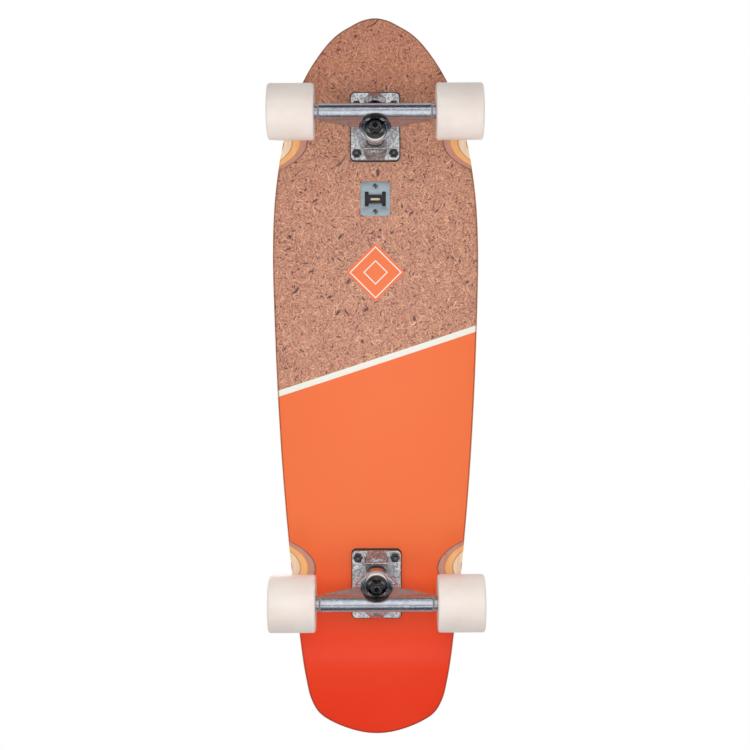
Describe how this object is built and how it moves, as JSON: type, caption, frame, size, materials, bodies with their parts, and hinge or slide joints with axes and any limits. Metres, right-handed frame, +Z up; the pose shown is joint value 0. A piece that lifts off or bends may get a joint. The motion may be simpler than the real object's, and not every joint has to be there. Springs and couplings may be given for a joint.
{
  "type": "cruiser skateboard",
  "caption": "Cruiser skateboard: wooden deck with kick tail, wheel wells and an inset bottle-opener plate, on steering cast trucks with soft wheels.",
  "frame": {"origin": "centre of the bounding box's bottom, on the ground under the board's middle", "axes": "+X along the board towards its nose, +Y to its left side, +Z up"},
  "size_m": [0.8128, 0.2338, 0.1248],
  "materials": {
    "deck_wood": "printed veneer, gloss",
    "grip": "coarse grit",
    "casting": "polished",
    "plated_steel": "zinc plated",
    "black_steel": "black oxide",
    "black_plastic": "moulded",
    "black_rubber": "moulded",
    "urethane": "satin cast urethane"
  },
  "bodies": {
    "board": {"deck": "deck_wood", "grip_tape": "grip", "opener_plate": "plated_steel", "opener_liner": "black_plastic", "opener_screw_front": "black_steel", "opener_screw_rear": "black_steel", "front_riser_pad": "black_rubber", "front_baseplate": "casting", "front_pivot_cup": "black_rubber", "front_kingpin": "black_steel", "front_boardside_washer": "black_steel", "front_boardside_bushing": "black_rubber", "front_roadside_bushing": "black_rubber", "front_roadside_washer": "black_steel", "front_kingpin_nut": "black_steel", "front_bolt_1": "black_steel", "front_lock_nut_1": "black_steel", "front_bolt_2": "black_steel", "front_lock_nut_2": "black_steel", "front_bolt_3": "black_steel", "front_lock_nut_3": "black_steel", "front_bolt_4": "black_steel", "front_lock_nut_4": "black_steel", "rear_riser_pad": "black_rubber", "rear_baseplate": "casting", "rear_pivot_cup": "black_rubber", "rear_kingpin": "black_steel", "rear_boardside_washer": "black_steel", "rear_boardside_bushing": "black_rubber", "rear_roadside_bushing": "black_rubber", "rear_roadside_washer": "black_steel", "rear_kingpin_nut": "black_steel", "rear_bolt_1": "black_steel", "rear_lock_nut_1": "black_steel", "rear_bolt_2": "black_steel", "rear_lock_nut_2": "black_steel", "rear_bolt_3": "black_steel", "rear_lock_nut_3": "black_steel", "rear_bolt_4": "black_steel", "rear_lock_nut_4": "black_steel"},
    "front_left_wheel_set": {"front_left_wheel": "urethane", "front_left_inner_bearing": "plated_steel", "front_left_outer_bearing": "plated_steel"},
    "front_right_wheel_set": {"front_right_wheel": "urethane", "front_right_inner_bearing": "plated_steel", "front_right_outer_bearing": "plated_steel"},
    "front_hanger_set": {"front_hanger": "casting", "front_axle": "plated_steel", "front_left_axle_nut": "plated_steel", "front_right_axle_nut": "plated_steel"},
    "rear_left_wheel_set": {"rear_left_wheel": "urethane", "rear_left_inner_bearing": "plated_steel", "rear_left_outer_bearing": "plated_steel"},
    "rear_right_wheel_set": {"rear_right_wheel": "urethane", "rear_right_inner_bearing": "plated_steel", "rear_right_outer_bearing": "plated_steel"},
    "rear_hanger_set": {"rear_hanger": "casting", "rear_axle": "plated_steel", "rear_left_axle_nut": "plated_steel", "rear_right_axle_nut": "plated_steel"}
  },
  "joints": [
    {"name": "front_steer", "type": "hinge", "parent": "board", "child": "front_hanger_set", "pos_m": [0.27312, 0, 0.05468], "axis": [-0.8718, 0, -0.4899], "range_deg": [-12, 12], "stiffness_Nm_per_rad": 50, "deforming": ["front_boardside_bushing", "front_roadside_bushing"]},
    {"name": "front_left_wheel_spin", "type": "hinge", "parent": "front_hanger_set", "child": "front_left_wheel_set", "pos_m": [0.2932, 0.0914, 0.031], "axis": [0, 1, 0], "continuous": true},
    {"name": "front_right_wheel_spin", "type": "hinge", "parent": "front_hanger_set", "child": "front_right_wheel_set", "pos_m": [0.2932, -0.0914, 0.031], "axis": [0, 1, 0], "continuous": true},
    {"name": "rear_steer", "type": "hinge", "parent": "board", "child": "rear_hanger_set", "pos_m": [-0.21997, 0, 0.05468], "axis": [0.8718, 0, -0.4899], "range_deg": [-12, 12], "stiffness_Nm_per_rad": 50, "deforming": ["rear_boardside_bushing", "rear_roadside_bushing"]},
    {"name": "rear_left_wheel_spin", "type": "hinge", "parent": "rear_hanger_set", "child": "rear_left_wheel_set", "pos_m": [-0.24005, 0.0914, 0.031], "axis": [0, 1, 0], "continuous": true},
    {"name": "rear_right_wheel_spin", "type": "hinge", "parent": "rear_hanger_set", "child": "rear_right_wheel_set", "pos_m": [-0.24005, -0.0914, 0.031], "axis": [0, 1, 0], "continuous": true}
  ]
}
